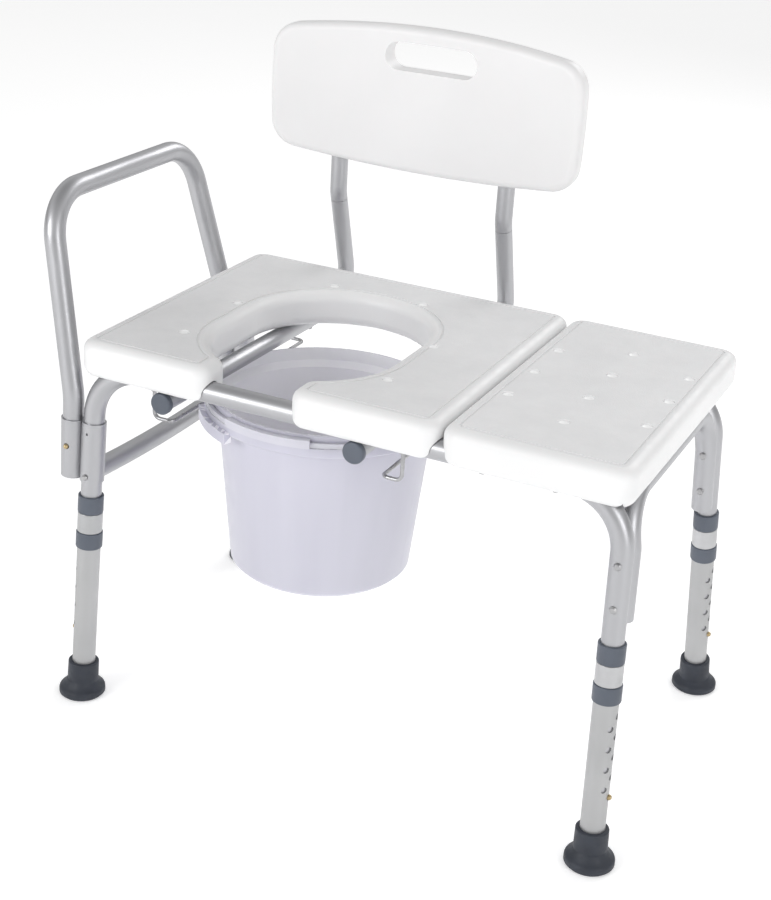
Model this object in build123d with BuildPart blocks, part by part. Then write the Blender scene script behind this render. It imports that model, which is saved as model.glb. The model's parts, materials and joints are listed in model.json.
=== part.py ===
from build123d import *
import math
import os

os.makedirs("parts", exist_ok=True)

# ---------------------------------------------------------------- layout, mm
MID_X = 23.2  # middle of the two panels' top, along the bench
MID_Y = -7.9  # middle of the top's depth
SEAT_TOP = 478.0
SEAT_LEFT = MID_X - 344.5
SEAT_RIGHT = MID_X + 335.5
SEAT_FRONT = MID_Y - 211.5
SEAT_BACK = MID_Y + 213.5
PANEL_THICK = 46.0
SEAT_BOTTOM = SEAT_TOP - PANEL_THICK
PANEL_CORNER = 22.0
PANEL_EDGE = 13.0
PANEL_UNDER_EDGE = 14.0
RAIL_CLEARANCE = (1.2, 3.0)  # round the front and the back rail, under the panels
PANEL_JOINT_X = MID_X + 116.8  # gap between the two panels
PANEL_GAP = 2.4
COMMODE_X = MID_X - 107.4  # bucket, posts and backrest are centred here

# ---------------------------------------------------------------- tubes
TUBE_R = 12.7  # 1 inch frame tube
WALL = 1.6
RAIL_Z = 444.6  # centre of the two rails under the seat
FRAME_BEND = 66.0
FOOT_X = 343.0  # half the distance between two feet
FRONT_FRAME_X = MID_X - 1.0
BACK_FRAME_X = MID_X - 2.6
FRONT_FOOT_Y = MID_Y - 214.0
BACK_FOOT_Y = MID_Y + 212.0
FRONT_LEAN = 2.75  # degrees back from vertical, going up
BACK_LEAN = -8.2
SPLAY = 0.034  # sideways spread of each leg per mm of height

# ---------------------------------------------------------------- adjustable legs, along the leg from the floor
INNER_TUBE_END = 70.0
EXTENSION_R = 14.3
EXTENSION_BORE = 12.79
EXTENSION_FOOT = 14.0
EXTENSION_TOP = 258.0
LOWER_RING = (207.0, 228.5)
COLLAR_SLEEVE = (228.8, 254.2)
UPPER_RING = (254.5, 277.0)
RING_R = 16.3
SLEEVE_R = 15.3
BUTTON_AT = 89.0
HOLE_PITCH = 25.4
HOLES_PER_ROW = 5
SECOND_ROW_ANGLE = 40.0  # the half-step row, turned towards the front
FOOT_HEIGHT = 46.0
FOOT_FLANGE_R = 29.0
FOOT_NECK_R = 19.6

# ---------------------------------------------------------------- rivets and screws
RIVET_R = 2.4
RIVET_HEAD_R = 4.6
SCREW_R = 2.4
SCREW_HEAD_R = 4.6
BOW_RIVET_Z = (320.0, 370.0)
CLAMP_RIVET_Z = 304.0
SEAT_SCREW_X = (-249.0, 70.0, 165.0, 249.0)
BACK_SCREW_Z = (680.0, 735.0)

# ---------------------------------------------------------------- bow between the right legs
BOW_R = 12.7
BOW_SIDE = TUBE_R + BOW_R + 1.0  # bow and leg lie side by side
BOW_END_Z = 292.0
BOW_KNEE_Z = 374.0
BOW_TOP_Z = 429.0
BOW_TOP_X = MID_X + 319.5
BOW_BEND = 48.0

# ---------------------------------------------------------------- snap buttons
PIN_R = 3.2
PIN_GUIDE_R = 3.3
PIN_HOLE_R = 3.8
PIN_PROUD = 5.4  # tip beyond the guiding tube's surface
POST_PIN_PROUD = 3.7
LEAF_THICK = 0.8
LEAF_WIDTH = 7.6

# ---------------------------------------------------------------- arm rail and its twin sleeves
ARM_OFFSET = 28.8
SLEEVE_Z = (296.0, 372.0)
CLAMP_R = 14.7
CLAMP_BORE = 12.79
ARM_END_Z = 299.0
ARM_KINK_Z = 400.0
ARM_TOP_Z = 632.0
ARM_LEAN = 0.19  # outward, per mm of height
ARM_BEND = 60.0
ARM_BUTTON_Z = 338.0

# ---------------------------------------------------------------- bucket rails and backrest posts
POST_R = 11.1
POST_SPREAD_FRONT = 124.5
POST_SPREAD = 118.0
POST_RAIL_Z = RAIL_Z - TUBE_R - POST_R - 0.1
POST_RAIL_FRONT = MID_Y - 200.0
POST_JOINT = (MID_Y + 216.5, 571.0)  # y, z where the upper post enters the lower one
POST_SLANT = 0.307  # forward lean of the lower post, per mm of height
POST_BEND = 42.0
POST_KINK_RISE = 11.0  # from the joint up to the kink
PLUG_HEAD_R = 13.2
PLUG_HEAD_LENGTH = 7.5
PLUG_HEAD_EDGE = 2.6
PLUG_SPIGOT = 4.0
SPIGOT = 36.0
SPIGOT_R = 9.42
POST_PIN_DROP = 20.0  # button below the joint
UPPER_POST_TOP = 776.0

# ---------------------------------------------------------------- backrest
BACKREST_X = COMMODE_X + 5.0
BACK_WIDTH = 420.0
BACK_MID_Z = 717.0
BACK_HEIGHT_MID = 184.0
BACK_HEIGHT_END = 152.0
BACK_THICK = 28.0
BACK_FACE_Y = MID_Y + 199.0  # front face at the middle
BACK_CURVE_R = 1080.0
BACK_SIDE_BOW = 3.0
BACK_CORNER = 36.0
BACK_EDGE = 9.0
BACK_SCREW_LENGTH = 27.0
SLOT_SIZE = (125.0, 35.0)
SLOT_Z = 772.0
SLOT_X = 4.0  # from the panel's middle

# ---------------------------------------------------------------- seat panels, from the seat's middle
OPENING_X = MID_X - 118.0
OPENING_R = 112.5
OPENING_FRONT = MID_Y - 65.0
OPENING_BACK = MID_Y + 14.0
MOUTH_WIDTH = 106.0
MOUTH_ROUND = 19.0
GROOVE_INSET = 15.5
GROOVE_WIDTH = 2.6
GROOVE_DEPTH = 1.2
DIMPLE_PITCH = 81.0
DIMPLE_R = 7.0
DIMPLE_DEPTH = 7.0
COMMODE_DIMPLES = (
    (-256.0, -119.0),
    (-256.0, 8.0),
    (-186.0, 136.0),
    (-60.0, 138.0),
    (14.0, 8.0),
    (14.0, -119.0),
)
SEAT_SCREW_TOP = 470.0

# ---------------------------------------------------------------- bucket and its wire hangers
BUCKET_BASE_R = 113.5
BUCKET_MOUTH_R = 132.5
LEDGE_Z = 393.2
LUG_LOW = 372.5
LUG_R = 156.0
LUG_HALF = 17.5
PIVOT_Z = 400.8
PIVOT_R = 2.6
EYE_R = 5.6
HANDLE_IN = 143.75
HANDLE_EYE_IN = 144.4
HANDLE_OUT = 148.6
HANDLE_TALL = 6.0
GRIP_OUT = 152.5
GRIP_ARC = (-114, 44)  # start and sweep, degrees
GRIP_TALL = 10.0
BUCKET_Y = MID_Y - 27.0
BUCKET_FLOOR = 179.0
FLANGE_Z = 380.5
FLANGE_R = 149.0
RIM_R = 143.3
RIM_TOP = 407.0
WIRE_R = 2.4
WIRE_SUPPORT = 139.5
WIRE_DROP = 164.0
WIRE_LOW = FLANGE_Z - WIRE_R - 0.35
WIRE_HIGH = 416.0
WIRE_FRONT = MID_Y - 158.0
WIRE_BACK = MID_Y + 172.0


def save(built, name):
    built.part.label = name
    export_step(built.part, f"parts/{name}.step")


def leg_axis(side, middle, foot_y, lean):
    """Plane on the floor at one foot: z runs up the leg, x points outboard."""
    up = Vector(-side * SPLAY, math.tan(math.radians(lean)), 1).normalized()
    out = Vector(side, 0, 0)
    out = (out - up * out.dot(up)).normalized()
    return Plane(origin=(middle + side * FOOT_X, foot_y, 0), x_dir=out, z_dir=up)


def on_leg(axis, z):
    """Point on a leg's centre line at a height above the floor."""
    return axis.origin + axis.z_dir * (z / axis.z_dir.Z)


LEGS = {
    "front_left": leg_axis(-1, FRONT_FRAME_X, FRONT_FOOT_Y, FRONT_LEAN),
    "front_right": leg_axis(1, FRONT_FRAME_X, FRONT_FOOT_Y, FRONT_LEAN),
    "back_left": leg_axis(-1, BACK_FRAME_X, BACK_FOOT_Y, BACK_LEAN),
    "back_right": leg_axis(1, BACK_FRAME_X, BACK_FOOT_Y, BACK_LEAN),
}


def tube_line(points, radii):
    """Centre line with straight runs and a rounded bend at each inner point; call inside BuildLine."""
    start = Vector(*points[0])
    for before, corner, after, radius in zip(points, points[1:], points[2:], radii):
        corner = Vector(*corner)
        back = (Vector(*before) - corner).normalized()
        ahead = (Vector(*after) - corner).normalized()
        half = back.get_angle(ahead) / 2
        reach = radius / math.tan(math.radians(half))
        middle = (back + ahead).normalized()
        apex = corner + middle * (radius / math.sin(math.radians(half)) - radius)
        Line(start, corner + back * reach)
        ThreePointArc(corner + back * reach, apex, corner + ahead * reach)
        start = corner + ahead * reach
    Line(start, Vector(*points[-1]))


def sweep_tube(points, radii, outer, inner=0.0):
    """Round tube or wire along a bent centre line; call inside BuildPart."""
    with BuildLine() as line:
        tube_line(points, radii)
    path = line.wires()[0]
    with BuildSketch(Plane(origin=path @ 0, z_dir=path % 0)) as section:
        Circle(outer)
        if inner:
            Circle(inner, mode=Mode.SUBTRACT)
    sweep(section.sketch, path=path)


def cut_hole(origin, direction, radius, length):
    """Round hole from a point, along a direction; call inside BuildPart."""
    with BuildSketch(Plane(origin=origin, z_dir=direction)) as section:
        Circle(radius)
    extrude(section.sketch, amount=length, mode=Mode.SUBTRACT)


POST_CORNER_Y = POST_JOINT[0] + POST_SLANT * (POST_JOINT[1] - POST_RAIL_Z)
SLANT_UP = Vector(0, -POST_SLANT, 1).normalized()
SLANT_BACK = Vector(0, 1, POST_SLANT).normalized()


def post_x(side, y):
    """Centre of a bucket rail at some depth; the pair closes in slightly towards the back."""
    run = (y - POST_RAIL_FRONT) / (POST_CORNER_Y - POST_RAIL_FRONT)
    return COMMODE_X + side * (POST_SPREAD_FRONT + (POST_SPREAD - POST_SPREAD_FRONT) * run)


# ---------------------------------------------------------------- U frames: leg, rail, leg
def build_frame(left, right):
    """One bent U of tube with its spring button, rivet and seat screw holes."""
    corner_left = on_leg(left, RAIL_Z)
    corner_right = on_leg(right, RAIL_Z)
    points = [
        left.origin + left.z_dir * INNER_TUBE_END,
        corner_left,
        corner_right,
        right.origin + right.z_dir * INNER_TUBE_END,
    ]
    with BuildPart() as frame:
        sweep_tube(points, [FRAME_BEND, FRAME_BEND], TUBE_R, TUBE_R - WALL)
        for leg in (left, right):
            cut_hole(leg.origin + leg.z_dir * BUTTON_AT, leg.x_dir, PIN_GUIDE_R, TUBE_R + 2)
        for z in BOW_RIVET_Z:
            cut_hole(on_leg(right, z) - Vector(0, TUBE_R + 3, 0), (0, 1, 0), RIVET_R + 0.1, 2 * TUBE_R + 6)
        clamped = on_leg(left, CLAMP_RIVET_Z)
        cut_hole(clamped - Vector(0, TUBE_R + 3, 0), (0, 1, 0), RIVET_R + 0.1, 2 * TUBE_R + 6)
        for x in SEAT_SCREW_X:
            start = (MID_X + x, corner_left.Y, RAIL_Z - TUBE_R - 2)
            cut_hole(start, (0, 0, 1), SCREW_R + 0.1, 2 * TUBE_R + 4)
        for side in (-1, 1):
            crossing = post_x(side, corner_left.Y)
            cut_hole((crossing, corner_left.Y, RAIL_Z - TUBE_R - 2), (0, 0, 1), SCREW_R + 0.1, TUBE_R)
    return frame


front_frame = build_frame(LEGS["front_left"], LEGS["front_right"])
save(front_frame, "front_frame_tube")
back_frame = build_frame(LEGS["back_left"], LEGS["back_right"])
save(back_frame, "back_frame_tube")
FRONT_RAIL_Y = on_leg(LEGS["front_left"], RAIL_Z).Y
BACK_RAIL_Y = on_leg(LEGS["back_left"], RAIL_Z).Y


# ---------------------------------------------------------------- telescopic lower legs
def ring(axis, span, outer, inner, edge):
    """Plastic or metal ring around a leg with softened outer edges."""
    with BuildPart() as built:
        with BuildSketch(axis.offset(span[0])):
            Circle(outer)
            Circle(inner, mode=Mode.SUBTRACT)
        extrude(amount=span[1] - span[0])
        outside = built.edges().filter_by(GeomType.CIRCLE).filter_by(lambda e: e.radius > outer - 0.1)
        fillet(outside, edge)
    return built


def pin_row(axis, angle, first, count):
    """Adjustment holes through one side of a lower leg; call inside BuildPart."""
    turned = axis.rotated((0, 0, angle))
    for step in range(count):
        height = first + step * HOLE_PITCH
        cut_hole(axis.origin + axis.z_dir * height, turned.x_dir, PIN_HOLE_R, EXTENSION_R + 2)


for name, axis in LEGS.items():
    side = -1 if "left" in name else 1

    with BuildPart() as extension:
        with BuildSketch(axis.offset(EXTENSION_FOOT)):
            Circle(EXTENSION_R)
            Circle(EXTENSION_BORE, mode=Mode.SUBTRACT)
        extrude(amount=EXTENSION_TOP - EXTENSION_FOOT)
        pin_row(axis, 0, BUTTON_AT, HOLES_PER_ROW)
        pin_row(axis, -side * SECOND_ROW_ANGLE, BUTTON_AT + HOLE_PITCH / 2, HOLES_PER_ROW - 1)
    save(extension, f"leg_extension_{name}")

    save(ring(axis, LOWER_RING, RING_R, EXTENSION_R + 0.05, 1.6), f"lower_ring_{name}")
    save(ring(axis, COLLAR_SLEEVE, SLEEVE_R, EXTENSION_R + 0.05, 0.6), f"collar_sleeve_{name}")

    with BuildPart() as upper_ring:
        with BuildSketch(axis.offset(UPPER_RING[0])):
            Circle(SLEEVE_R + 0.3)
        extrude(amount=UPPER_RING[1] - UPPER_RING[0])
        fillet(upper_ring.edges().filter_by(GeomType.CIRCLE), 1.2)
        with BuildSketch(axis.offset(UPPER_RING[0])):
            Circle(EXTENSION_R + 0.05)
        extrude(amount=EXTENSION_TOP - UPPER_RING[0] + 0.1, mode=Mode.SUBTRACT)
        with BuildSketch(axis.offset(UPPER_RING[0])):
            Circle(TUBE_R + 0.09)
        extrude(amount=UPPER_RING[1] - UPPER_RING[0], mode=Mode.SUBTRACT)
    save(upper_ring, f"upper_ring_{name}")

    # rubber foot: a level base on the floor, a neck along the leg
    with BuildPart() as foot:
        with BuildSketch(Plane.XZ.offset(-axis.origin.Y)):
            with BuildLine():
                Polyline((axis.origin.X, 0), (axis.origin.X + FOOT_FLANGE_R - 2.5, 0))
                Line((axis.origin.X + FOOT_FLANGE_R - 2.5, 0), (axis.origin.X + FOOT_FLANGE_R, 2.5))
                Line((axis.origin.X + FOOT_FLANGE_R, 2.5), (axis.origin.X + FOOT_FLANGE_R, 6.5))
                Spline(
                    (axis.origin.X + FOOT_FLANGE_R, 6.5),
                    (axis.origin.X + FOOT_FLANGE_R - 3.5, 12),
                    (axis.origin.X + FOOT_NECK_R - 1, 21),
                    tangents=((0, 1), (-0.5, 1)),
                )
                Line((axis.origin.X + FOOT_NECK_R - 1, 21), (axis.origin.X, 21))
                Line((axis.origin.X, 21), (axis.origin.X, 0))
            make_face()
        revolve(axis=Axis((axis.origin.X, axis.origin.Y, 0), (0, 0, 1)))
        with BuildSketch(axis.offset(10)):
            Circle(FOOT_NECK_R)
        extrude(amount=FOOT_HEIGHT - 10, taper=0.8)
        fillet(foot.edges().sort_by(Axis.Z)[-1], 2.0)
        with BuildSketch(axis.offset(EXTENSION_FOOT)):
            Circle(EXTENSION_R + 0.05)
        extrude(amount=FOOT_HEIGHT, mode=Mode.SUBTRACT)
        with BuildSketch(Plane(origin=axis.origin)):
            Circle(FOOT_FLANGE_R - 7)
            Circle(FOOT_FLANGE_R - 11, mode=Mode.SUBTRACT)
            Circle(FOOT_FLANGE_R - 15)
            Circle(FOOT_FLANGE_R - 19, mode=Mode.SUBTRACT)
        extrude(amount=1.5, mode=Mode.SUBTRACT)
    save(foot, f"rubber_foot_{name}")


# ---------------------------------------------------------------- snap buttons: a pin on a bent leaf spring
def snap_button(base, tube_r, proud=PIN_PROUD, width=LEAF_WIDTH):
    """base: origin on the tube's centre line level with the pin, x towards the pin, z along the tube."""
    inner = tube_r - WALL
    leaf_x = math.sqrt(inner**2 - (width / 2) ** 2) - 0.4 - LEAF_THICK / 2
    side_plane = Plane(origin=base.origin, x_dir=base.x_dir, z_dir=base.y_dir * -1)
    with BuildPart() as built:
        with BuildSketch(Plane(origin=base.origin + base.x_dir * leaf_x, x_dir=base.y_dir, z_dir=base.x_dir)):
            Circle(PIN_R)
        extrude(amount=tube_r + proud - leaf_x)
        tip = built.edges().filter_by(GeomType.CIRCLE).sort_by(lambda e: (e.center() - base.origin).length)[-1]
        fillet(tip, PIN_R - 0.3)
        with BuildSketch(side_plane):
            with BuildLine():
                FilletPolyline(
                    (leaf_x, -6),
                    (leaf_x, 22),
                    (leaf_x - inner * 0.55, 32),
                    (leaf_x - inner * 1.15, -4),
                    radius=1.5,
                )
            trace(line_width=LEAF_THICK)
        extrude(amount=width / 2, both=True)
    return built


for name, axis in LEGS.items():
    base = Plane(origin=axis.origin + axis.z_dir * BUTTON_AT, x_dir=axis.x_dir, z_dir=axis.z_dir)
    save(snap_button(base, TUBE_R), f"leg_button_{name}")

# ---------------------------------------------------------------- arm rail on the left
ARM_UP = Vector(SPLAY, 0, 1).normalized()


def arm_point(leg, z):
    """Centre of the arm rail's lower end beside a left leg."""
    at = on_leg(LEGS[leg], (SLEEVE_Z[0] + SLEEVE_Z[1]) / 2)
    level = at - Vector(ARM_OFFSET, 0, 0)
    return level + ARM_UP * ((z - level.Z) / ARM_UP.Z)


def arm_corner(leg, narrowing):
    kink = arm_point(leg, ARM_KINK_Z)
    rise = ARM_TOP_Z - ARM_KINK_Z
    return kink + Vector(-ARM_LEAN * rise, narrowing * rise, rise)


with BuildPart() as arm_rail:
    sweep_tube(
        [
            arm_point("front_left", ARM_END_Z),
            arm_point("front_left", ARM_KINK_Z),
            arm_corner("front_left", 0.098),
            arm_corner("back_left", -0.165),
            arm_point("back_left", ARM_KINK_Z),
            arm_point("back_left", ARM_END_Z),
        ],
        [70.0, ARM_BEND, ARM_BEND, 70.0],
        TUBE_R,
        TUBE_R - WALL,
    )
    cut_hole(arm_point("front_left", ARM_BUTTON_Z), (0, -1, 0), PIN_GUIDE_R, TUBE_R + 2)
    cut_hole(arm_point("back_left", ARM_BUTTON_Z), (0, 1, 0), PIN_GUIDE_R, TUBE_R + 2)
save(arm_rail, "arm_rail")

for name, leg, facing in (("front", "front_left", -1), ("back", "back_left", 1)):
    axis = LEGS[leg]
    low = SLEEVE_Z[0] / axis.z_dir.Z
    high = SLEEVE_Z[1] / axis.z_dir.Z
    arm_low = arm_point(leg, SLEEVE_Z[0])
    with BuildPart() as sleeve:
        with BuildSketch(axis.offset(low)):
            Circle(CLAMP_R)
        extrude(amount=high - low)
        with BuildSketch(Plane(origin=arm_low, z_dir=ARM_UP)):
            Circle(CLAMP_R)
        extrude(amount=SLEEVE_Z[1] - SLEEVE_Z[0])
        with BuildSketch(axis.offset(low - 5)):
            Circle(TUBE_R + 0.06)
        extrude(amount=high - low + 10, mode=Mode.SUBTRACT)
        with BuildSketch(Plane(origin=arm_low - ARM_UP * 5, z_dir=ARM_UP)):
            Circle(CLAMP_BORE)
        extrude(amount=SLEEVE_Z[1] - SLEEVE_Z[0] + 10, mode=Mode.SUBTRACT)
        cut_hole(arm_point(leg, ARM_BUTTON_Z), (0, facing, 0), PIN_HOLE_R, CLAMP_R + 3)
        start = on_leg(axis, CLAMP_RIVET_Z) - Vector(0, CLAMP_R + 3, 0)
        cut_hole(start, (0, 1, 0), RIVET_R + 0.1, 2 * CLAMP_R + 6)
        cut_hole(on_leg(axis, 360), (0, facing, 0), 1.6, CLAMP_R + 3)
    save(sleeve, f"twin_sleeve_{name}")
    base = Plane(origin=arm_point(leg, ARM_BUTTON_Z), x_dir=(0, facing, 0), z_dir=ARM_UP)
    save(snap_button(base, TUBE_R), f"arm_button_{name}")

# ---------------------------------------------------------------- lower brace between the two sleeves
BRACE_Z = 307.0
brace_front = on_leg(LEGS["front_left"], BRACE_Z)
brace_back = on_leg(LEGS["back_left"], BRACE_Z)
with BuildPart() as side_brace:
    with BuildLine() as brace_line:
        ThreePointArc(brace_front, (brace_front + brace_back) * 0.5 - Vector(0, 0, 7), brace_back)
    brace_path = brace_line.wires()[0]
    with BuildSketch(Plane(origin=brace_path @ 0, z_dir=brace_path % 0)):
        Circle(TUBE_R - 0.6)
        Circle(TUBE_R - 0.6 - WALL, mode=Mode.SUBTRACT)
    sweep(path=brace_path)
    for leg in ("front_left", "back_left"):
        with BuildSketch(LEGS[leg].offset(250)):
            Circle(CLAMP_R + 0.1)
        extrude(amount=120, mode=Mode.SUBTRACT)
save(side_brace, "side_brace_tube")

# ---------------------------------------------------------------- bow between the two right legs
bow_heights = (BOW_END_Z, BOW_KNEE_Z, BOW_TOP_Z)
bow_front = [on_leg(LEGS["front_right"], z) + Vector(0, BOW_SIDE, 0) for z in bow_heights]
bow_back = [on_leg(LEGS["back_right"], z) - Vector(0, BOW_SIDE + 0.3, 0) for z in bow_heights]
with BuildPart() as side_bow:
    sweep_tube(
        [
            bow_front[0],
            bow_front[1],
            Vector(BOW_TOP_X, bow_front[2].Y, BOW_TOP_Z),
            Vector(BOW_TOP_X, bow_back[2].Y, BOW_TOP_Z),
            bow_back[1],
            bow_back[0],
        ],
        [30.0, BOW_BEND, BOW_BEND, 30.0],
        BOW_R,
        BOW_R - WALL,
    )
    for z in BOW_RIVET_Z:
        for leg, side in (("front_right", 1), ("back_right", -1)):
            start = on_leg(LEGS[leg], z) + Vector(0, side * TUBE_R, 0)
            cut_hole(start, (0, side, 0), RIVET_R + 0.1, BOW_SIDE + BOW_R + 3)
save(side_bow, "side_bow_tube")


# ---------------------------------------------------------------- rivets
def rivet(start, direction, grip, head_r=RIVET_HEAD_R, head=1.9):
    """Domed rivet: start is the face under the first head; call inside BuildPart."""
    direction = Vector(*direction)
    with BuildSketch(Plane(origin=start, z_dir=direction)) as shank:
        Circle(RIVET_R)
    extrude(shank.sketch, amount=grip)
    for origin, out in ((start, direction * -1), (start + direction * grip, direction)):
        with BuildSketch(Plane(origin=origin, z_dir=out)) as dome:
            Circle(head_r)
        extrude(dome.sketch, amount=head, taper=38)


def head_gap(lean, radius):
    """Distance from a leaning tube's centre line to a level rivet head clear of its surface."""
    slope = math.radians(abs(lean))
    return radius / math.cos(slope) + RIVET_HEAD_R * math.tan(slope) + 0.1


with BuildPart() as bow_rivets:
    for leg, lean, side in (("front_right", FRONT_LEAN, 1), ("back_right", BACK_LEAN, -1)):
        reach = head_gap(lean, TUBE_R)
        grip = reach + BOW_SIDE + 0.3 + head_gap(lean, BOW_R)
        for z in BOW_RIVET_Z:
            rivet(on_leg(LEGS[leg], z) - Vector(0, side * reach, 0), (0, side, 0), grip)
save(bow_rivets, "bow_rivets")

with BuildPart() as sleeve_rivets:
    for leg, facing in (("front_left", -1), ("back_left", 1)):
        rivet(
            on_leg(LEGS[leg], CLAMP_RIVET_Z) + Vector(0, facing * head_gap(BACK_LEAN, CLAMP_R), 0),
            (0, -facing, 0),
            2 * head_gap(BACK_LEAN, CLAMP_R),
            head_r=3.8,
        )
save(sleeve_rivets, "sleeve_rivets")


# ---------------------------------------------------------------- bucket rails running on into the lower backrest posts

for name, side in (("left", -1), ("right", 1)):
    joint = Vector(COMMODE_X + side * POST_SPREAD, *POST_JOINT)
    front = Vector(post_x(side, POST_RAIL_FRONT), POST_RAIL_FRONT, POST_RAIL_Z)
    with BuildPart() as lower_post:
        corner = Vector(joint.X, POST_CORNER_Y, POST_RAIL_Z)
        sweep_tube([front, corner, joint], [POST_BEND], POST_R, POST_R - WALL)
        for y in (WIRE_FRONT, WIRE_BACK):
            cut_hole((post_x(side, y), y, WIRE_HIGH), (side, 0, 0), WIRE_R + 0.1, POST_R + 3)
        for y in (FRONT_RAIL_Y, BACK_RAIL_Y):
            start = (post_x(side, y), y, POST_RAIL_Z - POST_R - 2)
            cut_hole(start, (0, 0, 1), SCREW_R + 0.1, 2 * POST_R + 4)
        cut_hole(joint - SLANT_UP * POST_PIN_DROP, SLANT_BACK, PIN_HOLE_R, POST_R + 3)
    save(lower_post, f"bucket_rail_post_{name}")

    with BuildPart() as plug:
        with BuildSketch(Plane(origin=front - Vector(0, 0.2, 0), z_dir=(0, -1, 0))):
            Circle(PLUG_HEAD_R)
        extrude(amount=PLUG_HEAD_LENGTH)
        fillet(plug.edges().filter_by(GeomType.CIRCLE).sort_by(Axis.Y)[0], PLUG_HEAD_EDGE)
        with BuildSketch(Plane(origin=front, z_dir=(0, 1, 0))):
            Circle(POST_R - WALL - 0.3)
        extrude(amount=PLUG_SPIGOT, both=True)
    save(plug, f"rail_plug_{name}")

    # upper post: swaged spigot in the lower tube, a kink to vertical, then straight up behind the backrest
    foot_end = joint + SLANT_UP * 0.4
    kink = joint + SLANT_UP * POST_KINK_RISE
    with BuildPart() as upper_post:
        sweep_tube([foot_end, kink, Vector(kink.X, kink.Y, UPPER_POST_TOP)], [40.0], POST_R, POST_R - WALL)
        with BuildSketch(Plane(origin=foot_end, z_dir=SLANT_UP)):
            Circle(POST_R)
            Circle(SPIGOT_R - WALL, mode=Mode.SUBTRACT)
        extrude(amount=2)
        with BuildSketch(Plane(origin=foot_end, z_dir=SLANT_UP * -1)):
            Circle(SPIGOT_R)
            Circle(SPIGOT_R - WALL, mode=Mode.SUBTRACT)
        extrude(amount=SPIGOT)
        cut_hole(joint - SLANT_UP * POST_PIN_DROP, SLANT_BACK, PIN_GUIDE_R, POST_R + 3)
        for z in BACK_SCREW_Z:
            cut_hole((kink.X, kink.Y + POST_R + 2, z), (0, -1, 0), SCREW_R + 0.1, 2 * POST_R + 4)
    save(upper_post, f"upper_post_{name}")

    base = Plane(origin=joint - SLANT_UP * POST_PIN_DROP, x_dir=SLANT_BACK, z_dir=SLANT_UP)
    save(snap_button(base, SPIGOT_R, POST_PIN_PROUD, 6.0), f"post_button_{name}")

    # bent wire hanger, both ends hooked into the rail's lower outboard side
    rail_in = [post_x(side, y) + side * 4 for y in (WIRE_FRONT, WIRE_BACK)]
    out_x = COMMODE_X + side * WIRE_DROP
    low_x = COMMODE_X + side * WIRE_SUPPORT
    with BuildPart() as hanger:
        sweep_tube(
            [
                (rail_in[0], WIRE_FRONT, WIRE_HIGH),
                (out_x, WIRE_FRONT, WIRE_HIGH),
                (out_x, WIRE_FRONT, WIRE_LOW),
                (low_x, WIRE_FRONT, WIRE_LOW),
                (low_x, WIRE_BACK, WIRE_LOW),
                (out_x, WIRE_BACK, WIRE_LOW),
                (out_x, WIRE_BACK, WIRE_HIGH),
                (rail_in[1], WIRE_BACK, WIRE_HIGH),
            ],
            [8.0] * 6,
            WIRE_R,
        )
    save(hanger, f"wire_hanger_{name}")

POST_Y = (Vector(0, *POST_JOINT) + SLANT_UP * POST_KINK_RISE).Y


# ---------------------------------------------------------------- seat panels
def rail_channels(left, right):
    """Half-round channels under a panel for the two rails; call inside BuildPart."""
    for y, clearance in zip((FRONT_RAIL_Y, BACK_RAIL_Y), RAIL_CLEARANCE):
        channel_r = TUBE_R + clearance
        axis = Plane(origin=(left, y, RAIL_Z), x_dir=(0, 1, 0), z_dir=(1, 0, 0))
        with BuildSketch(axis) as channel:
            Circle(channel_r)
            with Locations((0, -TUBE_R)):
                Rectangle(2 * channel_r, 2 * TUBE_R)
        extrude(channel.sketch, amount=right - left, mode=Mode.SUBTRACT)


def screw_holes(panel_left, panel_right):
    """Blind holes in a panel above each seat screw; call inside BuildPart."""
    for x in SEAT_SCREW_X:
        if panel_left < MID_X + x < panel_right:
            for y in (FRONT_RAIL_Y, BACK_RAIL_Y):
                cut_hole((MID_X + x, y, RAIL_Z), (0, 0, 1), SCREW_R + 0.1, SEAT_SCREW_TOP + 1 - RAIL_Z)


def dimples(spots):
    """Shallow moulded pits in a panel's top; call inside BuildPart."""
    with BuildSketch(Plane.XY.offset(SEAT_TOP + 0.1)) as pits:
        with Locations(*spots):
            Circle(DIMPLE_R)
    extrude(pits.sketch, amount=-DIMPLE_DEPTH, taper=28, mode=Mode.SUBTRACT)


def groove(outline):
    """Moulded groove following a panel's outline; call inside BuildPart."""
    outer = offset(outline, amount=-GROOVE_INSET, mode=Mode.PRIVATE)
    inner = offset(outline, amount=-GROOVE_INSET - GROOVE_WIDTH, mode=Mode.PRIVATE)
    band = (outer - inner).moved(Location((0, 0, PANEL_THICK - GROOVE_DEPTH)))
    extrude(band, amount=GROOVE_DEPTH + 1, dir=(0, 0, 1), mode=Mode.SUBTRACT)


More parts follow.
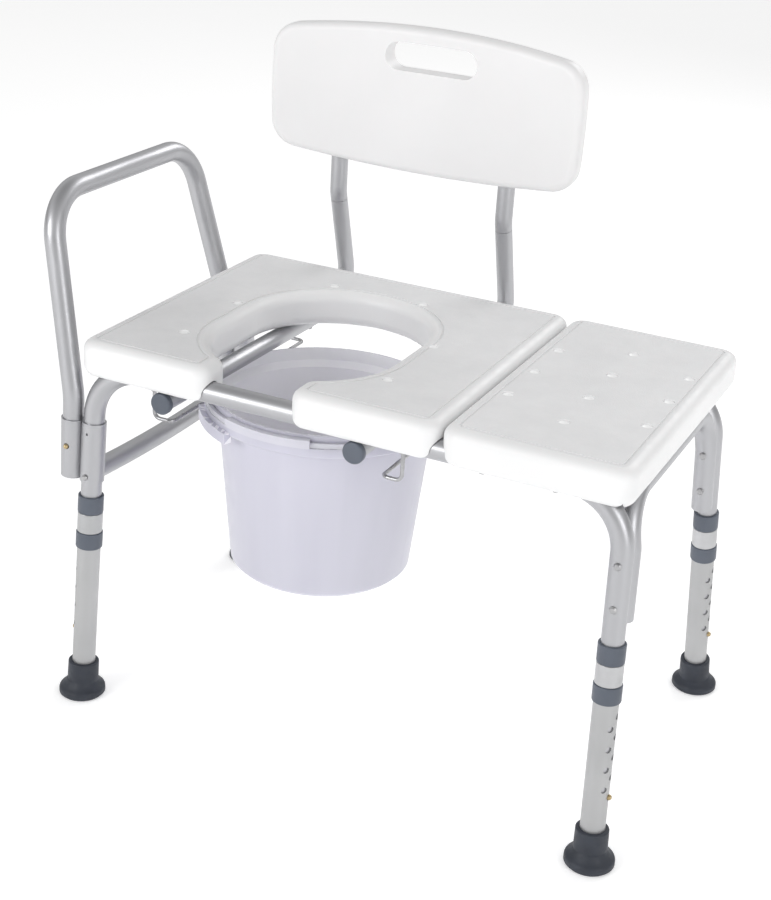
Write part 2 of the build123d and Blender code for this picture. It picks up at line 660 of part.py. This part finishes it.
with BuildPart() as transfer_seat:
    left = PANEL_JOINT_X + PANEL_GAP / 2
    with BuildSketch(Plane.XY.offset(SEAT_BOTTOM)) as outline:
        with Locations(((left + SEAT_RIGHT) / 2, (SEAT_FRONT + SEAT_BACK) / 2)):
            RectangleRounded(SEAT_RIGHT - left, SEAT_BACK - SEAT_FRONT, PANEL_CORNER)
    extrude(amount=PANEL_THICK)
    fillet(transfer_seat.edges().group_by(Axis.Z)[-1], PANEL_EDGE)
    fillet(transfer_seat.edges().group_by(Axis.Z)[0], PANEL_UNDER_EDGE)
    groove(outline.sketch)
    middle = MID_X + 226.5
    dimples(
        [(middle + i * DIMPLE_PITCH, MID_Y + j * DIMPLE_PITCH) for i in (-1, 1) for j in (-1, 0, 1)]
        + [(middle, MID_Y + (j + 0.5) * DIMPLE_PITCH) for j in (-2, -1, 0, 1)]
    )
    rail_channels(left - 1, MID_X + 326)
    screw_holes(left, SEAT_RIGHT)
    with BuildSketch(Plane(origin=(BOW_TOP_X, bow_front[2].Y - BOW_R, BOW_TOP_Z), z_dir=(0, 1, 0))):
        Circle(BOW_R + 0.5)
    extrude(amount=bow_back[2].Y - bow_front[2].Y + 2 * BOW_R, mode=Mode.SUBTRACT)
save(transfer_seat, "transfer_seat")

with BuildPart() as commode_seat:
    right = PANEL_JOINT_X - PANEL_GAP / 2
    with BuildSketch(Plane.XY.offset(SEAT_BOTTOM)) as outline:
        with Locations(((SEAT_LEFT + right) / 2, (SEAT_FRONT + SEAT_BACK) / 2)):
            RectangleRounded(right - SEAT_LEFT, SEAT_BACK - SEAT_FRONT, PANEL_CORNER)
        with Locations((OPENING_X, (OPENING_FRONT + OPENING_BACK) / 2)):
            SlotCenterToCenter(OPENING_BACK - OPENING_FRONT, 2 * OPENING_R, rotation=90, mode=Mode.SUBTRACT)
        with Locations((OPENING_X, SEAT_FRONT)):
            Rectangle(MOUTH_WIDTH, 120, mode=Mode.SUBTRACT)
        tips = outline.vertices().filter_by(lambda v: abs(abs(v.X - OPENING_X) - MOUTH_WIDTH / 2) < 0.5)
        fillet(tips, MOUTH_ROUND)
    extrude(amount=PANEL_THICK)
    fillet(commode_seat.edges().group_by(Axis.Z)[-1], PANEL_EDGE)
    fillet(commode_seat.edges().group_by(Axis.Z)[0], PANEL_UNDER_EDGE)
    groove(outline.sketch)
    dimples([(MID_X + x, MID_Y + y) for x, y in COMMODE_DIMPLES])
    rail_channels(MID_X - 328, right + 1)
    screw_holes(SEAT_LEFT, right)
save(commode_seat, "commode_seat")

# ---------------------------------------------------------------- screws
with BuildPart() as seat_screws:
    for x in SEAT_SCREW_X:
        for y in (FRONT_RAIL_Y, BACK_RAIL_Y):
            base = Plane(origin=(MID_X + x, y, RAIL_Z - TUBE_R - 0.1))
            with BuildSketch(base):
                Circle(SCREW_R)
            extrude(amount=SEAT_SCREW_TOP - base.origin.Z)
            with BuildSketch(base):
                Circle(SCREW_HEAD_R)
            extrude(amount=-2.6, taper=20)
save(seat_screws, "seat_screws")

with BuildPart() as rail_screws:
    for side in (-1, 1):
        for y in (FRONT_RAIL_Y, BACK_RAIL_Y):
            base = Plane(origin=(post_x(side, y), y, POST_RAIL_Z - POST_R - 0.1))
            with BuildSketch(base):
                Circle(SCREW_R)
            extrude(amount=RAIL_Z - 4 - base.origin.Z)
            with BuildSketch(base):
                Circle(SCREW_HEAD_R)
            extrude(amount=-2.2, taper=20)
save(rail_screws, "rail_screws")

with BuildPart() as backrest_screws:
    for side in (-1, 1):
        for z in BACK_SCREW_Z:
            base = Plane(
                origin=(COMMODE_X + side * POST_SPREAD, POST_Y + POST_R + 0.1, z), z_dir=(0, -1, 0)
            )
            with BuildSketch(base):
                Circle(SCREW_R)
            extrude(amount=BACK_SCREW_LENGTH)
            with BuildSketch(base):
                Circle(SCREW_HEAD_R)
            extrude(amount=-2.6, taper=20)
save(backrest_screws, "backrest_screws")

# ---------------------------------------------------------------- backrest: curved panel with a hand slot
back_face = Plane(origin=(BACKREST_X, BACK_FACE_Y - 200, BACK_MID_Z), x_dir=(-1, 0, 0), z_dir=(0, 1, 0))
half_width = BACK_WIDTH / 2
with BuildPart() as backrest:
    with BuildSketch(Plane.XY.offset(BACK_MID_Z - BACK_HEIGHT_MID)):
        with Locations((BACKREST_X, BACK_FACE_Y - BACK_CURVE_R)):
            Circle(BACK_CURVE_R + BACK_THICK)
            Circle(BACK_CURVE_R, mode=Mode.SUBTRACT)
        with Locations((BACKREST_X, BACK_FACE_Y)):
            Rectangle(BACK_WIDTH + 60, 200, mode=Mode.INTERSECT)
    extrude(amount=2 * BACK_HEIGHT_MID)
    with BuildSketch(back_face) as back_outline:
        with BuildLine():
            low = ThreePointArc(
                (-half_width, -BACK_HEIGHT_END / 2),
                (0, -BACK_HEIGHT_MID / 2),
                (half_width, -BACK_HEIGHT_END / 2),
            )
            ThreePointArc(low @ 1, (half_width + BACK_SIDE_BOW, 0), (half_width, BACK_HEIGHT_END / 2))
            high = ThreePointArc(
                (half_width, BACK_HEIGHT_END / 2),
                (0, BACK_HEIGHT_MID / 2),
                (-half_width, BACK_HEIGHT_END / 2),
            )
            ThreePointArc(high @ 1, (-half_width - BACK_SIDE_BOW, 0), low @ 0)
        make_face()
        fillet(back_outline.vertices(), BACK_CORNER)
    extrude(amount=400, mode=Mode.INTERSECT)
    rims = backrest.faces().sort_by(lambda f: f.area)[-2:]
    fillet(rims.edges(), BACK_EDGE)
    with BuildSketch(back_face):
        with Locations((-SLOT_X, SLOT_Z - BACK_MID_Z)):
            SlotOverall(*SLOT_SIZE)
    extrude(amount=400, mode=Mode.SUBTRACT)
    for side in (-1, 1):
        groove_plane = Plane.XY.offset(BACK_MID_Z - BACK_HEIGHT_MID)
        with BuildSketch(groove_plane):
            with Locations((COMMODE_X + side * POST_SPREAD, POST_Y)):
                Circle(POST_R + 0.25)
                with Locations((0, POST_R)):
                    Rectangle(2 * POST_R + 0.5, 2 * POST_R)
        extrude(amount=UPPER_POST_TOP + 2 - groove_plane.origin.Z, mode=Mode.SUBTRACT)
        for z in BACK_SCREW_Z:
            start = (COMMODE_X + side * POST_SPREAD, POST_Y, z)
            cut_hole(start, (0, -1, 0), SCREW_R + 0.1, BACK_SCREW_LENGTH - POST_R + 1)
save(backrest, "backrest_panel")

# ---------------------------------------------------------------- bucket
BUCKET_WALL = 2.5
with BuildPart() as bucket:
    with BuildSketch(Plane(origin=(COMMODE_X, BUCKET_Y, 0), x_dir=(1, 0, 0), z_dir=(0, -1, 0))):
        with BuildLine():
            Polyline(
                (0, BUCKET_FLOOR + 3),
                (BUCKET_BASE_R - 16, BUCKET_FLOOR + 3),
                (BUCKET_BASE_R - 12, BUCKET_FLOOR),
                (BUCKET_BASE_R - 5, BUCKET_FLOOR),
                (BUCKET_BASE_R, BUCKET_FLOOR + 5),
                (BUCKET_MOUTH_R, FLANGE_Z),
                (FLANGE_R - BUCKET_WALL, FLANGE_Z),
                (FLANGE_R, FLANGE_Z + BUCKET_WALL),
                (FLANGE_R, LEDGE_Z),
                (RIM_R, LEDGE_Z),
                (RIM_R, RIM_TOP - 1),
                (RIM_R - 1, RIM_TOP),
                (RIM_R - BUCKET_WALL, RIM_TOP),
                (RIM_R - BUCKET_WALL - 1, LEDGE_Z - 2),
                (BUCKET_MOUTH_R - BUCKET_WALL, FLANGE_Z + 4),
                (BUCKET_BASE_R - BUCKET_WALL, BUCKET_FLOOR + 5 + BUCKET_WALL),
                (BUCKET_BASE_R - 2 * BUCKET_WALL - 1, BUCKET_FLOOR + 3 + BUCKET_WALL),
                (0, BUCKET_FLOOR + 3 + BUCKET_WALL),
                close=True,
            )
        make_face()
    revolve(axis=Axis((COMMODE_X, BUCKET_Y, 0), (0, 0, 1)))
    # two wider lugs hanging from the flange
    for middle in (-130, 50):
        with BuildSketch(Plane(origin=(COMMODE_X, BUCKET_Y, LUG_LOW))):
            with BuildLine():
                outer = CenterArc((0, 0), LUG_R, middle - LUG_HALF, 2 * LUG_HALF)
                inner = CenterArc((0, 0), FLANGE_R - 3.4, middle - LUG_HALF, 2 * LUG_HALF)
                Line(outer @ 0, inner @ 0)
                Line(outer @ 1, inner @ 1)
            make_face()
        extrude(amount=FLANGE_Z + 5 - LUG_LOW)
    # studs for the bail handle
    for side in (-1, 1):
        with BuildSketch(Plane(origin=(COMMODE_X + side * (RIM_R - 1.5), BUCKET_Y, PIVOT_Z), z_dir=(side, 0, 0))):
            Circle(PIVOT_R)
        extrude(amount=HANDLE_OUT - RIM_R + 2.4)
        head = Plane(origin=(COMMODE_X + side * (HANDLE_OUT + 0.4), BUCKET_Y, PIVOT_Z), z_dir=(side, 0, 0))
        with BuildSketch(head):
            Circle(PIVOT_R + 1.9)
        extrude(amount=2, taper=20)
save(bucket, "bucket")

with BuildPart() as handle:
    base = Plane(origin=(COMMODE_X, BUCKET_Y, LEDGE_Z + 0.4))
    with BuildSketch(base):
        with BuildLine():
            outer = CenterArc((0, 0), HANDLE_OUT, 181, 178)
            inner = CenterArc((0, 0), HANDLE_IN, 181, 178)
            Line(outer @ 0, inner @ 0)
            Line(outer @ 1, inner @ 1)
        make_face()
    extrude(amount=HANDLE_TALL)
    with BuildSketch(base):
        with BuildLine():
            outer = CenterArc((0, 0), GRIP_OUT, GRIP_ARC[0], GRIP_ARC[1])
            inner = CenterArc((0, 0), HANDLE_IN, GRIP_ARC[0], GRIP_ARC[1])
            Line(outer @ 0, inner @ 0)
            Line(outer @ 1, inner @ 1)
        make_face()
    extrude(amount=GRIP_TALL)
    for side in (-1, 1):
        with BuildSketch(Plane(origin=(COMMODE_X + side * HANDLE_EYE_IN, BUCKET_Y, PIVOT_Z), z_dir=(side, 0, 0))):
            Circle(EYE_R)
        extrude(amount=HANDLE_OUT - HANDLE_EYE_IN)
        cut_hole((COMMODE_X + side * 135, BUCKET_Y, PIVOT_Z), (side, 0, 0), PIVOT_R + 0.08, 20)
save(handle, "bail_handle")
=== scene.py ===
import json
import math
import bmesh
import bpy
from mathutils import Matrix, Vector


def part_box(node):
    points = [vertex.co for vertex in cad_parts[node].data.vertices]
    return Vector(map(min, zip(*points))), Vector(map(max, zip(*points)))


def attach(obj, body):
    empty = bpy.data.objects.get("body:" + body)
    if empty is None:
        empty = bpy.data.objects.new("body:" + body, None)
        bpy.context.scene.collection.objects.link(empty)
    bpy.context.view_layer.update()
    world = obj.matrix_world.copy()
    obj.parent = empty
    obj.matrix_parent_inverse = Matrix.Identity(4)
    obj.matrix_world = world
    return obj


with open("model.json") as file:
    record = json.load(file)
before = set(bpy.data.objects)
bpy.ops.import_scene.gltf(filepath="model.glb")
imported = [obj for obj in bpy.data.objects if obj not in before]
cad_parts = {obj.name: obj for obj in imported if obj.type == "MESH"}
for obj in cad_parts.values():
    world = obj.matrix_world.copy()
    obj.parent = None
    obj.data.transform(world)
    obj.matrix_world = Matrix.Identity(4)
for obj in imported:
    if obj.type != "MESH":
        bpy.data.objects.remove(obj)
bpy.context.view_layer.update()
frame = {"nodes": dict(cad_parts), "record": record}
nodes = frame["nodes"]

# ---------------------------------------------------------------- materials
NOISE_LOW = 0.3  # a noise value mostly lies between these two
NOISE_HIGH = 0.7
GLOSS_FINENESS = 4  # uneven gloss is this many times finer than the tone's clouds
LEVEL_SLACK = 0.0002  # a seat's flat top lies within this of its highest point
FACING_UP = 0.995  # least upward part of the normal on a flat top
PEBBLE_SCALE = 620.0


def new_material(name):
    """A material with its node tree, its Principled shader and a texture coordinate output in metres."""
    material = bpy.data.materials.new(name)
    material.use_nodes = True
    tree = material.node_tree
    shader = tree.nodes["Principled BSDF"]
    place = tree.nodes.new("ShaderNodeTexCoord").outputs["Object"]
    return material, tree, shader, place


def noise(tree, place, scale, detail=4.0, rough=0.5, stretch=None):
    """Noise value in the object's own space; stretch, if given, scales that space along each axis first."""
    if stretch:
        mapping = tree.nodes.new("ShaderNodeMapping")
        mapping.inputs["Scale"].default_value = stretch
        tree.links.new(place, mapping.inputs["Vector"])
        place = mapping.outputs["Vector"]
    node = tree.nodes.new("ShaderNodeTexNoise")
    node.inputs["Scale"].default_value = scale
    node.inputs["Detail"].default_value = detail
    node.inputs["Roughness"].default_value = rough
    tree.links.new(place, node.inputs["Vector"])
    return node.outputs["Fac"]


def ramp(tree, value, stops):
    """Colour ramp over a value; stops are (position, colour)."""
    node = tree.nodes.new("ShaderNodeValToRGB")
    while len(node.color_ramp.elements) < len(stops):
        node.color_ramp.elements.new(0.5)
    for element, (position, colour) in zip(node.color_ramp.elements, stops):
        element.position = position
        element.color = (*colour, 1.0)
    tree.links.new(value, node.inputs["Fac"])
    return node.outputs["Color"]


def spread(tree, value, low, high):
    """Map the middle of a noise value's span to a range."""
    node = tree.nodes.new("ShaderNodeMapRange")
    node.inputs["From Min"].default_value = NOISE_LOW
    node.inputs["From Max"].default_value = NOISE_HIGH
    node.inputs["To Min"].default_value = low
    node.inputs["To Max"].default_value = high
    tree.links.new(value, node.inputs["Value"])
    return node.outputs["Result"]


def bump(tree, shader, value, distance, strength=1.0):
    """Add a bump on top of whatever normal the shader has."""
    node = tree.nodes.new("ShaderNodeBump")
    node.inputs["Distance"].default_value = distance
    node.inputs["Strength"].default_value = strength
    tree.links.new(value, node.inputs["Height"])
    if shader.inputs["Normal"].links:
        tree.links.new(shader.inputs["Normal"].links[0].from_socket, node.inputs["Normal"])
    tree.links.new(node.outputs["Normal"], shader.inputs["Normal"])


def two_tone(tree, value, dark, light):
    """Colour that runs between two tones over a noise value."""
    return ramp(tree, value, ((NOISE_LOW, dark), (NOISE_HIGH, light)))


def surface(name, dark, light, rough, metal, tone_scale, grain=(900.0, 0.00004, 0.6), stretch=None):
    """General finish: slow tone changes, uneven roughness and a fine grain bump (scale, height, strength)."""
    material, tree, shader, place = new_material(name)
    tone = noise(tree, place, tone_scale, detail=5.0, rough=0.55)
    tree.links.new(two_tone(tree, tone, dark, light), shader.inputs["Base Color"])
    gloss = noise(tree, place, tone_scale * GLOSS_FINENESS, detail=3.0, rough=0.6, stretch=stretch)
    tree.links.new(spread(tree, gloss, *rough), shader.inputs["Roughness"])
    shader.inputs["Metallic"].default_value = metal
    grain_scale, grain_height, grain_strength = grain
    fine = noise(tree, place, grain_scale, detail=3.0, rough=0.6, stretch=stretch)
    bump(tree, shader, fine, grain_height, grain_strength)
    return material


def maths(tree, operation, first, second):
    """Maths node on two values, each a socket or a number."""
    node = tree.nodes.new("ShaderNodeMath")
    node.operation = operation
    for socket, value in zip(node.inputs, (first, second)):
        if isinstance(value, float):
            socket.default_value = value
        else:
            tree.links.new(value, socket)
    return node.outputs["Value"]


def blend_colours(tree, share, first, second):
    """Mix two colour sockets by a 0..1 share."""
    node = tree.nodes.new("ShaderNodeMix")
    node.data_type = "RGBA"
    first_colour, second_colour = node.inputs[6:8]  # the sockets of its colour mode
    tree.links.new(share, node.inputs["Factor"])
    tree.links.new(first, first_colour)
    tree.links.new(second, second_colour)
    return node.outputs[2]


def vector_maths(tree, operation, first, second, output="Vector"):
    """Vector maths node on a socket and a second socket or three numbers."""
    node = tree.nodes.new("ShaderNodeVectorMath")
    node.operation = operation
    tree.links.new(first, node.inputs[0])
    if isinstance(second, (tuple, Vector)):
        node.inputs[1].default_value = second
    else:
        tree.links.new(second, node.inputs[1])
    return node.outputs[output]


def height_of(tree, vector):
    """Upward part of a vector socket."""
    node = tree.nodes.new("ShaderNodeSeparateXYZ")
    tree.links.new(vector, node.inputs["Vector"])
    return node.outputs["Z"]


def flat_top(tree, place, level):
    """1 on the pebbled flat top of a seat panel, 0 on its rolled edges, its groove and its dimples."""
    high = maths(tree, "GREATER_THAN", height_of(tree, place), level - LEVEL_SLACK)
    normal = tree.nodes.new("ShaderNodeNewGeometry").outputs["True Normal"]
    return maths(tree, "MULTIPLY", high, maths(tree, "GREATER_THAN", height_of(tree, normal), FACING_UP))


def panel_plastic(name, whites, top_level=None):
    """Blow-moulded soft white, smooth on the rolled edges and finely pebbled on a seat's flat top; given a
    top level, that flat top is painted greyer, partly its own pebbled tone and partly painted shade.
    """
    material, tree, shader, place = new_material(name)
    clouds = noise(tree, place, scale=6.0)
    smooth_white = two_tone(tree, clouds, *whites)
    pebble = tree.nodes.new("ShaderNodeTexVoronoi")
    pebble.feature = "SMOOTH_F1"
    pebble.inputs["Scale"].default_value = PEBBLE_SCALE
    tree.links.new(place, pebble.inputs["Vector"])
    gloss = noise(tree, place, scale=55.0, detail=3.0)
    tree.links.new(spread(tree, gloss, low=0.36, high=0.50), shader.inputs["Roughness"])
    waves = noise(tree, place, scale=25.0, detail=2.0)
    bump(tree, shader, waves, distance=0.0005, strength=0.35)
    if top_level is None:
        tree.links.new(smooth_white, shader.inputs["Base Color"])
        bump(tree, shader, pebble.outputs["Distance"], distance=0.00008, strength=0.35)
    else:
        mottle = noise(tree, place, scale=18.0, detail=6.0, rough=0.7)
        # painted shade: the flat top gets a greyer white than the rolled edges, partly the pebbled finish's
        # own tone and partly shade for a top lit less than the fronts
        pebbled_white_painted_shade = two_tone(tree, mottle, (0.77, 0.77, 0.777), (0.83, 0.83, 0.835))
        mask = flat_top(tree, place, top_level)
        tree.links.new(blend_colours(tree, mask, smooth_white, pebbled_white_painted_shade), shader.inputs["Base Color"])
        pebbles = maths(tree, "MULTIPLY", pebble.outputs["Distance"], mask)
        bump(tree, shader, pebbles, distance=0.00022, strength=0.8)
    shader.inputs["Subsurface Weight"].default_value = 0.12
    shader.inputs["Subsurface Radius"].default_value = (0.006, 0.005, 0.005)
    shader.inputs["Subsurface Scale"].default_value = 1.0
    return material


def facing_axis(tree, place, middle):
    """1 where a surface faces the upright axis through middle, as the inside of a bucket does."""
    arm = vector_maths(tree, "SUBTRACT", place, middle)
    level = vector_maths(tree, "MULTIPLY", arm, (1.0, 1.0, 0.0))
    normal = tree.nodes.new("ShaderNodeTexCoord").outputs["Normal"]
    turned_out = vector_maths(tree, "DOT_PRODUCT", level, normal, "Value")
    return maths(tree, "LESS_THAN", turned_out, 0.0)


def bucket_plastic(name, dark, light, middle=None):
    """Thin lilac-white moulding that lets light through to the inside, with faint vertical flow marks; given
    a middle, its inside faces are painted a lighter white as painted light.
    """
    material, tree, shader, place = new_material(name)
    flow = noise(tree, place, scale=16.0, detail=3.0, stretch=(1.0, 1.0, 0.12))
    outside = two_tone(tree, flow, dark, light)
    if middle is None:
        tree.links.new(outside, shader.inputs["Base Color"])
    else:
        # painted light: the inside faces get a much lighter white than the outside, standing in for light
        # falling into and through the bucket
        inside = two_tone(tree, flow, (0.88, 0.875, 0.93), (0.92, 0.915, 0.96))
        mask = facing_axis(tree, place, middle)
        tree.links.new(blend_colours(tree, mask, outside, inside), shader.inputs["Base Color"])
    gloss = noise(tree, place, scale=40.0, detail=3.0)
    tree.links.new(spread(tree, gloss, low=0.30, high=0.44), shader.inputs["Roughness"])
    grain = noise(tree, place, scale=300.0, detail=2.0)
    bump(tree, shader, grain, distance=0.00005, strength=0.4)
    shader.inputs["Subsurface Weight"].default_value = 0.35
    shader.inputs["Subsurface Radius"].default_value = (0.012, 0.011, 0.013)
    shader.inputs["Subsurface Scale"].default_value = 1.0
    shader.inputs["Coat Weight"].default_value = 0.12
    return material


tube = surface(
    "satin_aluminium_tube",
    (0.45, 0.452, 0.468),
    (0.49, 0.492, 0.508),
    rough=(0.37, 0.44),
    metal=1.0,
    tone_scale=7.0,
    grain=(700.0, 0.00001, 0.4),
)
extension = surface(
    "matte_aluminium_tube",
    (0.43, 0.432, 0.435),
    (0.50, 0.502, 0.505),
    rough=(0.38, 0.52),
    metal=0.85,
    tone_scale=11.0,
    grain=(700.0, 0.00003, 0.6),
)
collar_metal = surface(
    "turned_aluminium_sleeve",
    (0.44, 0.445, 0.45),
    (0.56, 0.56, 0.57),
    rough=(0.3, 0.45),
    metal=0.9,
    tone_scale=16.0,
    grain=(600.0, 0.00003, 0.5),
    stretch=(1.0, 1.0, 8.0),
)
grey_plastic = surface(
    "blue_grey_moulding",
    (0.078, 0.092, 0.118),
    (0.105, 0.12, 0.15),
    rough=(0.38, 0.52),
    metal=0.0,
    tone_scale=30.0,
    grain=(1200.0, 0.00005, 0.6),
)
rubber = surface(
    "dark_rubber",
    (0.017, 0.021, 0.031),
    (0.030, 0.036, 0.050),
    rough=(0.45, 0.66),
    metal=0.0,
    tone_scale=45.0,
    grain=(1500.0, 0.00008, 0.7),
)
brass = surface(
    "brass_pin",
    (0.42, 0.32, 0.17),
    (0.56, 0.44, 0.25),
    rough=(0.25, 0.4),
    metal=1.0,
    tone_scale=60.0,
)
wire = surface(
    "drawn_steel_wire",
    (0.32, 0.32, 0.33),
    (0.46, 0.46, 0.47),
    rough=(0.22, 0.36),
    metal=1.0,
    tone_scale=40.0,
)
zinc = surface(
    "zinc_steel",
    (0.36, 0.36, 0.37),
    (0.50, 0.50, 0.50),
    rough=(0.28, 0.45),
    metal=1.0,
    tone_scale=60.0,
)
seat_top_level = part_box("commode_seat")[1][2]
seat_white = panel_plastic("pebbled_white_seat", ((0.81, 0.81, 0.812), (0.85, 0.85, 0.852)), seat_top_level)
back_white = panel_plastic("smooth_white_backrest", ((0.78, 0.775, 0.778), (0.82, 0.815, 0.818)))
bucket_low, bucket_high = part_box("bucket")
bucket_middle = (Vector(bucket_low) + Vector(bucket_high)) / 2
# the bucket's inside is painted lighter than its outside as painted light
bucket_skin = bucket_plastic("lilac_white_plastic", (0.55, 0.545, 0.63), (0.60, 0.595, 0.68), bucket_middle)
handle_skin = bucket_plastic("lilac_white_handle", (0.60, 0.595, 0.67), (0.66, 0.655, 0.72))

finishes = {
    "frame_tube": tube,
    "extension_tube": extension,
    "grey_plastic": grey_plastic,
    "collar_metal": collar_metal,
    "foot_rubber": rubber,
    "white_panel": seat_white,
    "bucket_plastic": bucket_skin,
    "handle_plastic": handle_skin,
    "button_brass": brass,
    "wire_steel": wire,
    "fastener_steel": zinc,
}
slot_of = {part["node"]: part["material_slot"] for part in frame["record"]["subparts"]}
for name, obj in nodes.items():
    obj.data.materials.clear()
    obj.data.materials.append(back_white if name == "backrest_panel" else finishes[slot_of[name]])

# ---------------------------------------------------------------- shallow cups in the seat dimples, whiter than the seat as a painted highlight
TOP_MIDDLE = (0.0232, -0.0079)  # middle of the two panels' top; the dimples are placed from it
DIMPLE_PITCH = 0.081
RIGHT_MIDDLE = 0.2265  # middle row of the right panel
LEFT_DIMPLES = [
    (-0.256, -0.119),
    (-0.256, 0.008),
    (-0.186, 0.136),
    (-0.060, 0.138),
    (0.014, 0.008),
    (0.014, -0.119),
]
# the right panel has rows of three, four and three
right_dimples = [(RIGHT_MIDDLE + i * DIMPLE_PITCH, j * DIMPLE_PITCH) for i in (-1, 1) for j in (-1, 0, 1)]
right_dimples += [(RIGHT_MIDDLE, (j + 0.5) * DIMPLE_PITCH) for j in (-2, -1, 0, 1)]
# radius and depth under the seat's top, from the middle of the dish out over its lip and down
CUP_RINGS = (
    (0.0015, 0.0021),
    (0.003, 0.0019),
    (0.0045, 0.0014),
    (0.0057, 0.0009),
    (0.0062, 0.0012),
    (0.0050, 0.0042),
)
CUP_SIDES = 32


def add_cup(mesh, x, y, top):
    """One closed concave cup, open side up, just inside a dimple."""
    angles = [2 * math.pi * k / CUP_SIDES for k in range(CUP_SIDES)]
    rings = [
        [mesh.verts.new((x + radius * math.cos(a), y + radius * math.sin(a), top - depth)) for a in angles]
        for radius, depth in CUP_RINGS
    ]
    for inner, outer in zip(rings, rings[1:]):
        for k in range(CUP_SIDES):
            mesh.faces.new((inner[k - 1], outer[k - 1], outer[k], inner[k]))
    mesh.faces.new(rings[0])
    mesh.faces.new(rings[-1][::-1])


# painted highlight: the cups' white is brighter than the seat's own plastic, standing in for the light the
# dimples catch
dimple_painted_highlight_white = surface(
    "dimple_white_painted_highlight",
    (0.93, 0.93, 0.932),
    (0.96, 0.96, 0.962),
    rough=(0.28, 0.38),
    metal=0.0,
    tone_scale=40.0,
)
cups = bmesh.new()
for x, y in LEFT_DIMPLES + right_dimples:
    add_cup(cups, TOP_MIDDLE[0] + x, TOP_MIDDLE[1] + y, seat_top_level)
bmesh.ops.recalc_face_normals(cups, faces=cups.faces)
cup_mesh = bpy.data.meshes.new("seat_dimple_cups")
cups.to_mesh(cup_mesh)
cups.free()
for face in cup_mesh.polygons:
    face.use_smooth = True
seat_cups = bpy.data.objects.new("seat_dimple_cups", cup_mesh)
bpy.context.collection.objects.link(seat_cups)
cup_mesh.materials.append(dimple_painted_highlight_white)
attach(seat_cups, "frame")

# ---------------------------------------------------------------- floor, light and camera
FLOOR_SIZE = 400.0
FLOOR_GLOW = 0.34
FLOOR_WHITE = (0.90, 0.90, 0.90, 1.0)
WORLD_STRENGTH = 0.96
# brightness of the surroundings from straight down (0) to straight up (1); the horizon is at a half
WORLD_SHADES = (
    (0.0, 0.85),
    (0.52, 0.85),
    (0.55, 0.26),
    (0.61, 0.34),
    (0.69, 0.85),
    (0.84, 0.75),
    (1.0, 0.42),
)

bpy.ops.mesh.primitive_plane_add(size=FLOOR_SIZE, location=(0, 0, 0))
floor = bpy.context.object
floor.name = "studio_floor"
floor_material, _, floor_shader, _ = new_material("pale_floor")
floor_shader.inputs["Base Color"].default_value = FLOOR_WHITE
floor_shader.inputs["Roughness"].default_value = 0.8
floor_shader.inputs["Emission Color"].default_value = (1.0, 1.0, 1.0, 1.0)
floor_shader.inputs["Emission Strength"].default_value = FLOOR_GLOW
floor.data.materials.append(floor_material)

world = bpy.data.worlds.new("studio")
bpy.context.scene.world = world
world.use_nodes = True
sky = world.node_tree
background = sky.nodes["Background"]
direction = sky.nodes.new("ShaderNodeTexCoord").outputs["Generated"]
height = sky.nodes.new("ShaderNodeMapRange")
height.inputs["From Min"].default_value = -1.0
height.inputs["From Max"].default_value = 1.0
sky.links.new(height_of(sky, direction), height.inputs["Value"])
shades = ramp(sky, height.outputs["Result"], [(place, (grey,) * 3) for place, grey in WORLD_SHADES])
sky.links.new(shades, background.inputs["Color"])
background.inputs["Strength"].default_value = WORLD_STRENGTH


def softbox(name, at, target, size, power):
    """Rectangular area light aimed at a target; the camera doesn't see it."""
    light = bpy.data.lights.new(name, "AREA")
    light.shape = "RECTANGLE"
    light.size, light.size_y = size
    light.energy = power
    obj = bpy.data.objects.new(name, light)
    bpy.context.collection.objects.link(obj)
    obj.location = at
    obj.rotation_euler = (Vector(target) - Vector(at)).to_track_quat("-Z", "Y").to_euler()
    obj.visible_camera = False


softbox("key", at=(-1.7, -3.2, 1.7), target=(0, 0, 0.4), size=(1.8, 1.4), power=46.0)
softbox("fill", at=(3.1, -1.6, 1.4), target=(0, 0, 0.4), size=(1.2, 1.6), power=24.0)
softbox("back", at=(0.8, 3.0, 2.4), target=(0, 0, 0.5), size=(2.0, 1.0), power=30.0)

CAMERA_AT = (0.7508, -1.6997, 1.1692)
CAMERA_AZIMUTH = math.radians(24.32)
CAMERA_ELEVATION = math.radians(24.26)
CAMERA_ROLL = math.radians(3.62)
CAMERA_LENS = 65.91  # mm, on a sensor 36 mm high

right = Vector((math.cos(CAMERA_AZIMUTH), math.sin(CAMERA_AZIMUTH), 0.0))
back = Vector((
    math.sin(CAMERA_AZIMUTH) * math.cos(CAMERA_ELEVATION),
    -math.cos(CAMERA_AZIMUTH) * math.cos(CAMERA_ELEVATION),
    math.sin(CAMERA_ELEVATION),
))
up = back.cross(right)
turned_right = right * math.cos(CAMERA_ROLL) + up * math.sin(CAMERA_ROLL)
turned_up = up * math.cos(CAMERA_ROLL) - right * math.sin(CAMERA_ROLL)
camera_data = bpy.data.cameras.new("camera")
camera_data.sensor_fit = "VERTICAL"
camera_data.sensor_height = 36.0
camera_data.lens = CAMERA_LENS
camera = bpy.data.objects.new("camera", camera_data)
bpy.context.collection.objects.link(camera)
turn = Matrix((turned_right, turned_up, back)).transposed().to_4x4()
camera.matrix_world = Matrix.Translation(CAMERA_AT) @ turn
bpy.context.scene.camera = camera
bpy.context.scene.view_settings.view_transform = "Standard"
